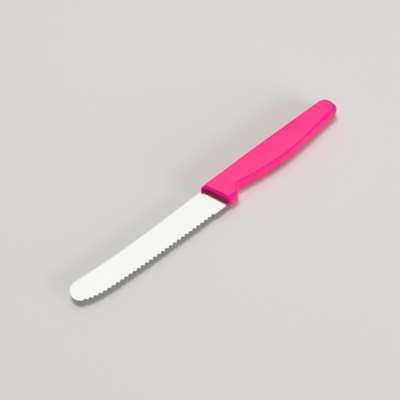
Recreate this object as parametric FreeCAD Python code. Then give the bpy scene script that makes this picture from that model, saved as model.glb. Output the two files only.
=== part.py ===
import FreeCAD, Part
import math
import os

# A round-tipped tomato knife with a wavy edge, lying on its side.
# Sizes are in millimetres. It is drawn with its zero where the knife's back enters the handle: +X runs
# to the butt, +Y to the back, -Y to the cutting edge, and Z = 0 is the middle of the sheet. At the end
# both pieces move together, so that the zero is at the middle of the place where the knife lies.

# Blade outline, as depths below the back line and distances in front of the handle
blade_reach = 105.5
heel_depth = 18.1
tip_radius = 6.6
tip_centre_depth = 4.8
back_root_depth = 0.4
back_hollow_at = 45.0
back_hollow_depth = 0.6
back_bend_at = 70.0
back_bend_depth = 0.1
back_end_slope = 3.8
edge_heel_at = 12.0
edge_heel_depth = 18.0
edge_middle_at = 50.0
edge_middle_depth = 17.0
edge_front_at = 80.0
edge_front_depth = 15.45
edge_end_angle = 238.0

# Blade section, ground flat from near the back to the edge
sheet_thickness = 1.2
edge_thickness = 0.5
grind_start_depth = 2.0
grind_run_in = 1.0

# Wavy edge, ground from the lower side with a profiled wheel
plain_heel = 11.6
wave_pitch = 3.05
wave_depth = 1.15
wave_radius = 2.7
wheel_angle = 20.0
wheel_reach = 9.0

# Tang, the hidden tongue of the blade inside the handle
root_length = 1.4
tang_back_cover = 2.6
tang_belly_cover = 2.8
tang_butt_cover = 36.0
tang_end_radius = 2.5
key_hole_radius = 2.2
key_hole_count = 3
key_hole_spacing = 20.0
key_hole_first = 20.0

# Handle outline, as distances behind the front or to the butt and depths below the back line
handle_length = 107.4
handle_thickness = 12.0
back_front_depth = 0.15
back_middle_at = 50.0
back_middle_depth = 0.2
back_end_to_butt = 10.4
back_end_depth = 1.2
butt_slant = 7.0
butt_end_depth = 13.6
butt_back_radius = 7.0
butt_belly_radius = 4.5
belly_rear_to_butt = 29.4
belly_rear_depth = 15.6
belly_at = 54.0
belly_depth = 16.9
belly_front_at = 32.0
belly_front_depth = 14.9
waist_at = 17.4
waist_depth = 12.5
waist_radius = 3.0
guard_at = 13.0
guard_depth = 18.7
guard_radius = 2.6
foot_overrun = 0.15

# Handle front, straight and slanted, with a small lip that runs forward along the blade's back
front_slant = 19.1
front_foot_radius = 4.6
front_crease = 0.05
lip_reach = 0.95
lip_depth = 2.2
lip_radius = 3.0
trim_margin = 8.0

# Handle edges. The rim's rounding grows over a run in front of the butt, on the belly's side
front_rounding = 2.4
guard_rounding = 4.6
rim_rounding = 1.4
butt_rounding = 3.2
butt_run = 16.4

# Lengths below this count as nothing where edges and faces are picked by their place
hair = 0.01


def point(x, y, z=0.0):
    return FreeCAD.Vector(x, y, z)


def direction(degrees):
    return point(math.cos(math.radians(degrees)), math.sin(math.radians(degrees)))


def front_x(depth):
    """Where the slanted front of the handle stands at a depth below the back line."""
    return depth * math.tan(math.radians(front_slant))


def smooth_curve(points, start=None, end=None):
    curve = Part.BSplineCurve()
    if start is None:
        curve.interpolate(Points=points)
    else:
        curve.interpolate(Points=points, InitialTangent=start, FinalTangent=end)
    return curve


def plate(edges, thickness):
    """A flat piece of the given outline and thickness, centred on Z = 0."""
    face = Part.Face(Part.Wire(edges))
    solid = face.extrude(point(0, 0, thickness))
    solid.translate(point(0, 0, -thickness / 2))
    return solid


def straight_edges(corners):
    """The straight edges of a closed outline with these corners."""
    ends = corners[1:] + corners[:1]
    return [Part.LineSegment(corner, end).toShape() for corner, end in zip(corners, ends)]


def is_upright(edge):
    middle = edge.CenterOfMass
    ends = [vertex.Point for vertex in edge.Vertexes]
    level = abs(ends[0].z - ends[-1].z) < hair
    return not level and all(math.hypot(end.x - middle.x, end.y - middle.y) < hair for end in ends)


def upright_edges(solid, x, y):
    """The upright edges at one corner of a solid's outline."""
    return [
        edge
        for edge in solid.Edges
        if is_upright(edge) and math.hypot(edge.CenterOfMass.x - x, edge.CenterOfMass.y - y) < hair
    ]


def edge_curve():
    """The line of the tooth tips, from the round tip to the handle."""
    tip = point(tip_radius - blade_reach, -tip_centre_depth)
    first = tip + direction(edge_end_angle) * tip_radius
    points = [
        first,
        point(-edge_front_at, -edge_front_depth),
        point(-edge_middle_at, -edge_middle_depth),
        point(-edge_heel_at, -edge_heel_depth),
        point(front_x(heel_depth) + root_length, -heel_depth),
    ]
    return smooth_curve(points, direction(edge_end_angle + 90), direction(0))


def blade_plate():
    tip = point(tip_radius - blade_reach, -tip_centre_depth)
    back_end = tip + direction(90 - back_end_slope) * tip_radius
    back = smooth_curve(
        [
            point(root_length, -back_root_depth),
            point(-back_hollow_at, -back_hollow_depth),
            point(-back_bend_at, -back_bend_depth),
            back_end,
        ],
        point(-1, (back_root_depth - back_hollow_depth) / back_hollow_at),
        direction(180 - back_end_slope),
    )
    edge = edge_curve()
    nose = Part.Arc(back_end, tip + direction(180) * tip_radius, edge.StartPoint)
    root = Part.LineSegment(edge.EndPoint, back.StartPoint)
    return plate([back.toShape(), nose.toShape(), edge.toShape(), root.toShape()], sheet_thickness)


def tang_plate():
    top = -tang_back_cover
    bottom = tang_belly_cover - waist_depth
    end = handle_length - tang_butt_cover
    corners = [point(0, top), point(end, top), point(end, bottom), point(0, bottom)]
    tang = plate(straight_edges(corners), sheet_thickness)
    rounded = upright_edges(tang, end, top) + upright_edges(tang, end, bottom)
    return tang.makeFillet(tang_end_radius, rounded)


def key_hole(index):
    x = key_hole_first + index * key_hole_spacing
    y = (tang_belly_cover - waist_depth - tang_back_cover) / 2
    return Part.makeCylinder(key_hole_radius, 2 * sheet_thickness, point(x, y, -sheet_thickness))


def grind_wedge(side):
    """The steel that flat grinding takes off one side, in front of the handle."""
    outer = side * sheet_thickness
    full = side * sheet_thickness / 2
    thin = side * edge_thickness / 2
    section = [
        point(0, -grind_start_depth, full),
        point(0, -heel_depth, thin),
        point(0, -2 * heel_depth, thin - (full - thin) * heel_depth / (heel_depth - grind_start_depth)),
        point(0, -2 * heel_depth, outer),
        point(0, -grind_start_depth, outer),
    ]
    face = Part.Face(Part.makePolygon(section + section[:1]))
    wedge = face.extrude(point(-2 * blade_reach, 0, 0))
    slant = math.tan(math.radians(front_slant))
    slide = FreeCAD.Matrix(1, -slant, 0, grind_run_in, 0, 1, 0, 0, 0, 0, 1, 0, 0, 0, 0, 1)
    return wedge.transformGeometry(slide)


def wheel_cut(curve, from_handle):
    """One groove of the wavy edge: a cylinder that rises to the upper face of the sheet at the edge."""
    at = curve.parameterAtDistance(-from_handle, curve.LastParameter)
    place = curve.value(at)
    along = curve.tangent(at)[0]
    inward = point(-along.y, along.x)
    angle = math.radians(wheel_angle)
    axis = point(0, 0, math.sin(angle)) - inward * math.cos(angle)
    lift = point(0, 0, math.cos(angle)) + inward * math.sin(angle)
    top = place + inward * wave_depth + point(0, 0, edge_thickness / 2)
    start = top - lift * wave_radius - axis * wheel_reach
    return Part.makeCylinder(wave_radius, 2 * wheel_reach, start, axis)


def make_blade():
    blade = blade_plate().fuse(tang_plate()).removeSplitter()
    for index in range(key_hole_count):
        blade = blade.cut(key_hole(index))
    for side in (-1, 1):
        blade = blade.cut(grind_wedge(side))
    curve = edge_curve()
    plain = plain_heel + root_length
    waves = int((curve.length() - plain) / wave_pitch)
    for index in range(waves):
        blade = blade.cut(wheel_cut(curve, plain + (index + 0.5) * wave_pitch))
    return blade.Solids[0]


def handle_outline():
    """The handle seen from its flat side. It runs on in front, where front_plate trims it."""
    front_top = point(-trim_margin, -back_front_depth)
    back_end = point(handle_length - back_end_to_butt, -back_end_depth)
    butt_belly = point(handle_length, -butt_end_depth)
    butt_back = point(
        handle_length - (butt_end_depth - back_end_depth) * math.tan(math.radians(butt_slant)),
        -back_end_depth,
    )
    waist = point(waist_at, -waist_depth)
    guard = point(guard_at, -guard_depth - foot_overrun)
    front_low = point(-trim_margin, guard.y)
    back = Part.Arc(front_top, point(back_middle_at, -back_middle_depth), back_end)
    belly = smooth_curve(
        [
            butt_belly,
            point(handle_length - belly_rear_to_butt, -belly_rear_depth),
            point(belly_at, -belly_depth),
            point(belly_front_at, -belly_front_depth),
            waist,
        ]
    )
    edges = [
        back.toShape(),
        Part.LineSegment(back_end, butt_back).toShape(),
        Part.LineSegment(butt_back, butt_belly).toShape(),
        belly.toShape(),
        Part.LineSegment(waist, guard).toShape(),
        Part.LineSegment(guard, front_low).toShape(),
        Part.LineSegment(front_low, front_top).toShape(),
    ]
    corners = [
        (butt_back, butt_back_radius),
        (butt_belly, butt_belly_radius),
        (waist, waist_radius),
        (guard, guard_radius),
    ]
    return edges, corners


def side_profile():
    """A bar along X with a round underside, which rounds the foot of the guard across its thickness."""
    half = handle_thickness / 2
    shoulder = guard_rounding - guard_depth
    corners = [
        point(0, shoulder, -half),
        point(0, handle_thickness, -half),
        point(0, handle_thickness, half),
        point(0, shoulder, half),
    ]
    foot = smooth_curve([corners[3], point(0, -guard_depth), corners[0]], point(0, -1), point(0, 1))
    edges = straight_edges(corners)[:3] + [foot.toShape()]
    bar = Part.Face(Part.Wire(edges)).extrude(point(2 * handle_length, 0, 0))
    bar.translate(point(-handle_length / 2, 0, 0))
    return bar


def front_plate():
    """A plate with the handle's slanted front and its rounded rim, for trimming the handle's body."""
    foot_depth = guard_depth + foot_overrun
    foot = point(front_x(foot_depth), -foot_depth)
    bend = point(front_x(lip_depth), -lip_depth)
    lip = point(-lip_reach, -back_front_depth)
    beyond = lip + (lip - bend) * trim_margin
    rear = handle_length + trim_margin
    corners = [foot, bend, beyond, point(rear, beyond.y), point(rear, foot.y)]
    trim = plate(straight_edges(corners), handle_thickness + 2 * front_crease)
    trim = trim.makeFillet(front_foot_radius, upright_edges(trim, foot.x, foot.y))
    trim = trim.makeFillet(lip_radius, upright_edges(trim, bend.x, bend.y))
    walls = [face for face in trim.Faces if outward(face).x < -hair]
    rim = [edge for edge in loose_edges(walls) if not is_upright(edge)]
    return trim.makeFillet(front_rounding, rim)


def outward(face):
    """A face's normal at the middle of its parameter range."""
    first_u, last_u, first_v, last_v = face.ParameterRange
    return face.normalAt((first_u + last_u) / 2, (first_v + last_v) / 2)


def is_wall(face):
    """Whether a face stands upright all over."""
    first_u, last_u, first_v, last_v = face.ParameterRange
    normals = [face.normalAt(u, v) for u in (first_u, last_u) for v in (first_v, last_v)]
    return all(abs(normal.z) < hair for normal in normals)


def loose_edges(faces):
    """The edges that only one of the faces has."""
    edges = [edge for face in faces for edge in face.Edges]
    return [edge for edge in edges if sum(edge.isSame(other) for other in edges) == 1]


def rim_radius(place):
    """The rounding of the handle's rim at a place. It grows towards the butt, but not along the back."""
    run = 1 - (handle_length - butt_back_radius - place.x) / butt_run
    descent = -(place.y + back_end_depth) / butt_back_radius
    share = max(min(run, 1.0), 0.0) * max(min(descent, 1.0), 0.0)
    return rim_rounding + (butt_rounding - rim_rounding) * share


def round_rim(solid, rim):
    """The solid with its rim's edges rounded, each by the radii for its two ends."""
    document = FreeCAD.newDocument()
    base = document.addObject("Part::Feature")
    base.Shape = solid
    fillet = document.addObject("Part::Fillet")
    fillet.Base = base
    rows = []
    for number, edge in enumerate(base.Shape.Edges, 1):
        if any(edge.isSame(other) for other in rim):
            first = rim_radius(edge.valueAt(edge.FirstParameter))
            last = rim_radius(edge.valueAt(edge.LastParameter))
            rows.append((number, first, last))
    fillet.Edges = rows
    document.recompute()
    return fillet.Shape


def half_handle():
    """The handle's half above the middle of its thickness, with its edges rounded."""
    edges, corners = handle_outline()
    handle = plate(edges, handle_thickness)
    for corner, radius in corners:
        handle = handle.makeFillet(radius, upright_edges(handle, corner.x, corner.y))
    handle = handle.common(side_profile()).common(front_plate())
    half = Part.makeBox(2 * handle_length, handle_length, handle_thickness)
    half.translate(point(-handle_length / 2, -handle_length / 2, 0))
    handle = handle.common(half)
    front = []
    walls = []
    for face in handle.Faces:
        if outward(face).x < -hair and face.CenterOfMass.x < guard_at - guard_radius:
            front.append(face)
        elif is_wall(face):
            walls.append(face)
    taken = [edge for face in front for edge in face.Edges]
    rim = [
        edge
        for edge in loose_edges(walls)
        if edge.CenterOfMass.z > hair
        and not is_upright(edge)
        and not any(edge.isSame(other) for other in taken)
    ]
    return round_rim(handle, rim)


def make_handle(blade):
    upper = half_handle()
    lower = upper.mirror(point(0, 0), point(0, 0, 1))
    return upper.fuse(lower).removeSplitter().cut(blade).Solids[0]


blade = make_blade()
handle = make_handle(blade)
box = Part.makeCompound([blade, handle]).optimalBoundingBox(False, False)
os.makedirs("parts", exist_ok=True)
for name, piece in (("blade", blade), ("handle", handle)):
    piece.translate(point(-box.Center.x, -box.Center.y, -box.ZMin))
    piece.exportStep("parts/" + name + ".step")
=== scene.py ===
import math

import bpy
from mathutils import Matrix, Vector


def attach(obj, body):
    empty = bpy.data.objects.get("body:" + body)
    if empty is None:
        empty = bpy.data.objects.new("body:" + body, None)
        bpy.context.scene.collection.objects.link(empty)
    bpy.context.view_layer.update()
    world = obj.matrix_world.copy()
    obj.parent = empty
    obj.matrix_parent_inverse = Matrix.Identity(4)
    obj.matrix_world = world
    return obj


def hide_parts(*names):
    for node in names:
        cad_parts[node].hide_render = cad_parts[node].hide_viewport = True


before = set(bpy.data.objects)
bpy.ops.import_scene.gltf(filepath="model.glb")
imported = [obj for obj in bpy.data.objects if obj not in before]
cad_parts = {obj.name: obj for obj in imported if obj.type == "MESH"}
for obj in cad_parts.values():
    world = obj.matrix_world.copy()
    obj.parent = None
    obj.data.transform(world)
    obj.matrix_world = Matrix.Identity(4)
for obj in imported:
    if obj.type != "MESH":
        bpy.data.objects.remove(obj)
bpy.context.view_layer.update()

# The camera of the photograph looks down on the lying knife from the side of the wavy edge, with the tip
# at the lower left. It aims at a point on the floor, and its distance and lens set the knife's size.
MM = 0.001
view_turn = math.radians(41)
view_tilt = math.radians(60)
view_aim = Vector((-3.97, 6.81, 0.0)) * MM
view_distance = 609.3 * MM
view_lens = 87.3
view_near = 0.01
ahead = Vector((math.sin(view_turn), math.cos(view_turn), 0))
away = Vector((0, 0, math.sin(view_tilt))) - ahead * math.cos(view_tilt)

bpy.ops.object.select_all(action="DESELECT")
bpy.ops.object.camera_add(location=view_aim + away * view_distance)
camera = bpy.context.object
camera.name = "photo_camera"
camera.rotation_euler = away.to_track_quat("Z", "Y").to_euler()
camera.data.lens = view_lens
camera.data.clip_start = view_near
bpy.context.scene.camera = camera


# The handle: one piece of pink polyamide, 12 mm thick and injection-moulded round the blade's tang. The
# frame's solid gives its form, and a copy with merged triangles is shown, so that its roundings shade
# smoothly into the flat sides.
merge_distance = 0.001 * MM
crease_angle = math.radians(35)
pink = "FC0082"
deeper_pink = "F6007A"
flow_size = 9 * MM
flow_detail = 2.0
skin_size = 0.5 * MM
skin_detail = 3.0
skin_height = 0.02 * MM
skin_strength = 0.12
smoothest_plastic = 0.21
roughest_plastic = 0.28
plastic_ior = 1.5
plastic_specular = 0.6


def linear(hex_colour):
    """An sRGB hex colour as linear red, green, blue and alpha."""
    channels = [int(hex_colour[i:i + 2], 16) / 255 for i in (0, 2, 4)]
    return [c / 12.92 if c <= 0.04045 else ((c + 0.055) / 1.055) ** 2.4 for c in channels] + [1.0]


def add_node(material, kind, settings, links=()):
    """Adds a shader node, sets its sockets or fields, and links (output, socket) pairs into it."""
    node = material.node_tree.nodes.new(kind)
    for name, value in settings.items():
        if name in node.inputs:
            node.inputs[name].default_value = value
        else:
            setattr(node, name, value)
    for output, socket in links:
        material.node_tree.links.new(output, node.inputs[socket])
    return node


handle = bpy.data.objects.new("handle_moulded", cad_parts["handle"].data.copy())
handle.data.materials.clear()
bpy.context.scene.collection.objects.link(handle)
bpy.ops.object.select_all(action="DESELECT")
handle.select_set(True)
bpy.context.view_layer.objects.active = handle
bpy.ops.object.mode_set(mode="EDIT")
bpy.ops.mesh.select_all(action="SELECT")
bpy.ops.mesh.remove_doubles(threshold=merge_distance)
bpy.ops.object.mode_set(mode="OBJECT")
bpy.ops.object.shade_smooth_by_angle(angle=crease_angle)
even_shading = handle.modifiers.new("even_shading", "WEIGHTED_NORMAL")
even_shading.keep_sharp = True
bpy.ops.object.modifier_apply(modifier="even_shading")

# Polyamide from a polished mould has a deep, even colour and a satin gloss. The melt's flow, seen over
# about a centimetre, changes both a little, and the skin is uneven by some hundredths of a millimetre.
plastic = bpy.data.materials.new("moulded_pink_polyamide")
plastic.use_nodes = True
plastic.node_tree.nodes.clear()
place = add_node(plastic, "ShaderNodeTexCoord", {})
flow = add_node(plastic, "ShaderNodeTexNoise", {"Scale": 1 / flow_size, "Detail": flow_detail},
                [(place.outputs["Object"], "Vector")])
skin = add_node(plastic, "ShaderNodeTexNoise", {"Scale": 1 / skin_size, "Detail": skin_detail},
                [(place.outputs["Object"], "Vector")])
gloss = add_node(plastic, "ShaderNodeMapRange",
                 {"To Min": smoothest_plastic, "To Max": roughest_plastic},
                 [(flow.outputs["Fac"], "Value")])
colour = add_node(plastic, "ShaderNodeMix", {"data_type": "RGBA"}, [(flow.outputs["Fac"], 0)])
colour.inputs[6].default_value = linear(pink)
colour.inputs[7].default_value = linear(deeper_pink)
grain = add_node(plastic, "ShaderNodeBump", {"Strength": skin_strength, "Distance": skin_height},
                 [(skin.outputs["Fac"], "Height")])
shader = add_node(
    plastic, "ShaderNodeBsdfPrincipled",
    {"IOR": plastic_ior, "Specular IOR Level": plastic_specular},
    [(colour.outputs[2], "Base Color"), (gloss.outputs["Result"], "Roughness"),
     (grain.outputs["Normal"], "Normal")],
)
add_node(plastic, "ShaderNodeOutputMaterial", {}, [(shader.outputs["BSDF"], "Surface")])
handle.data.materials.append(plastic)
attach(handle, "root")
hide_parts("handle")


# The blade: stamped from 1.2 mm stainless sheet, ground flat from near the back to the edge, and finished
# finely, with a wavy edge ground from below. The frame's own solid is shown, because its flats are ground
# and its edges are crisp.
steel_colour = "DCDCDA"
line_spacing = 0.4 * MM
line_stretch = 0.02
line_detail = 3.0
line_height = 0.02 * MM
line_strength = 0.08
smoothest_steel = 0.14
roughest_steel = 0.22

# Stainless steel, fine-ground across the blade: a bright metal whose gloss the grinding lines spread a
# little. The real lines are finer than a tenth of a millimetre, and are drawn coarser so that they show.
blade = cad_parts["blade"]
steel = bpy.data.materials.new("fine_ground_stainless_steel")
steel.use_nodes = True
steel.node_tree.nodes.clear()
place = add_node(steel, "ShaderNodeTexCoord", {})
stretch = add_node(steel, "ShaderNodeMapping", {"Scale": (1.0, line_stretch, 1.0)},
                   [(place.outputs["Object"], "Vector")])
lines = add_node(steel, "ShaderNodeTexNoise", {"Scale": 1 / line_spacing, "Detail": line_detail},
                 [(stretch.outputs["Vector"], "Vector")])
gloss = add_node(steel, "ShaderNodeMapRange", {"To Min": smoothest_steel, "To Max": roughest_steel},
                 [(lines.outputs["Fac"], "Value")])
grain = add_node(steel, "ShaderNodeBump", {"Strength": line_strength, "Distance": line_height},
                 [(lines.outputs["Fac"], "Height")])
shader = add_node(
    steel, "ShaderNodeBsdfPrincipled",
    {"Base Color": linear(steel_colour), "Metallic": 1.0},
    [(gloss.outputs["Result"], "Roughness"), (grain.outputs["Normal"], "Normal")],
)
add_node(steel, "ShaderNodeOutputMaterial", {}, [(shader.outputs["BSDF"], "Surface")])
blade.data.materials.clear()
blade.data.materials.append(steel)


# The floor: plain pale paper under the whole studio. The knife's gloss doesn't take it in, and mirrors
# only the walls and the panel, which keeps the handle's sides a deep pink.
floor_size = 8.0
floor_colour = "D6D4D1"
floor_roughness = 0.9
floor_specular = 0.1

bpy.ops.object.select_all(action="DESELECT")
bpy.ops.mesh.primitive_plane_add(size=floor_size)
floor = bpy.context.object
floor.name = "studio_floor"
paper = bpy.data.materials.new("pale_floor")
paper.use_nodes = True
paper.node_tree.nodes.clear()
shader = add_node(paper, "ShaderNodeBsdfPrincipled",
                  {"Base Color": linear(floor_colour), "Roughness": floor_roughness,
                   "Specular IOR Level": floor_specular})
add_node(paper, "ShaderNodeOutputMaterial", {}, [(shader.outputs["BSDF"], "Surface")])
floor.data.materials.append(paper)
floor.visible_glossy = False


# The lamps: a key stands high on the side of the knife's back, a wide soft light overhead softens its
# shadow, and a low fill lights the belly. Distances and widths are in metres, and powers in watts.
key_direction = Vector((0, 0.17, 0.98))
key_distance = 1.2
key_width = 0.26
key_power = 5.7
ceiling_direction = Vector((0.4, 0.15, 1))
ceiling_distance = 1.6
ceiling_width = 1.8
ceiling_power = 7.0
fill_direction = Vector((0.4, -1.0, 0.25))
fill_distance = 2.5
fill_width = 1.4
fill_power = 46.0


def soft_light(name, direction, distance, width, power):
    """A square light in a direction from the knife, facing it and not mirrored in it."""
    bpy.ops.object.light_add(type="AREA", location=direction.normalized() * distance)
    light = bpy.context.object
    light.name = name
    light.rotation_euler = direction.to_track_quat("Z", "Y").to_euler()
    light.data.size = width
    light.data.energy = power
    light.visible_glossy = False


soft_light("key", key_direction, key_distance, key_width, key_power)
soft_light("ceiling", ceiling_direction, ceiling_distance, ceiling_width, ceiling_power)
soft_light("belly_fill", fill_direction, fill_distance, fill_width, fill_power)


# The studio round the knife: grey walls up to a dark ceiling, with one bright panel overhead that the
# blade and the handle's flat side mirror. The panel's edges are cosines of the angle from its middle,
# and the walls' are heights on a sphere of radius 1.
panel_direction = Vector((0.2, 0.32, 0.92))
panel_outer_edge = 0.90
panel_inner_edge = 0.965
panel_glow = 1.28
wall_top = 0.5
ceiling_start = 0.8
wall_glow = 0.32
dark_glow = 0.04

studio = bpy.data.worlds.new("studio")
studio.use_nodes = True
studio.node_tree.nodes.clear()
place = add_node(studio, "ShaderNodeTexCoord", {})
nearness = add_node(studio, "ShaderNodeVectorMath", {"operation": "DOT_PRODUCT"},
                    [(place.outputs["Generated"], 0)])
nearness.inputs[1].default_value = panel_direction.normalized()
glow = add_node(studio, "ShaderNodeMapRange",
                {"interpolation_type": "SMOOTHSTEP", "From Min": panel_outer_edge,
                 "From Max": panel_inner_edge, "To Min": 0.0, "To Max": panel_glow},
                [(nearness.outputs["Value"], "Value")])
height = add_node(studio, "ShaderNodeSeparateXYZ", {}, [(place.outputs["Generated"], "Vector")])
walls = add_node(studio, "ShaderNodeMapRange",
                 {"interpolation_type": "SMOOTHSTEP", "From Min": wall_top, "From Max": ceiling_start,
                  "To Min": wall_glow, "To Max": dark_glow},
                 [(height.outputs["Z"], "Value")])
both = add_node(studio, "ShaderNodeMath", {"operation": "ADD"},
                [(glow.outputs["Result"], 0), (walls.outputs["Result"], 1)])
room = add_node(studio, "ShaderNodeBackground", {"Color": (1, 1, 1, 1)},
                [(both.outputs["Value"], "Strength")])
add_node(studio, "ShaderNodeOutputWorld", {}, [(room.outputs["Background"], "Surface")])
bpy.context.scene.world = studio
bpy.context.scene.view_settings.view_transform = "Standard"
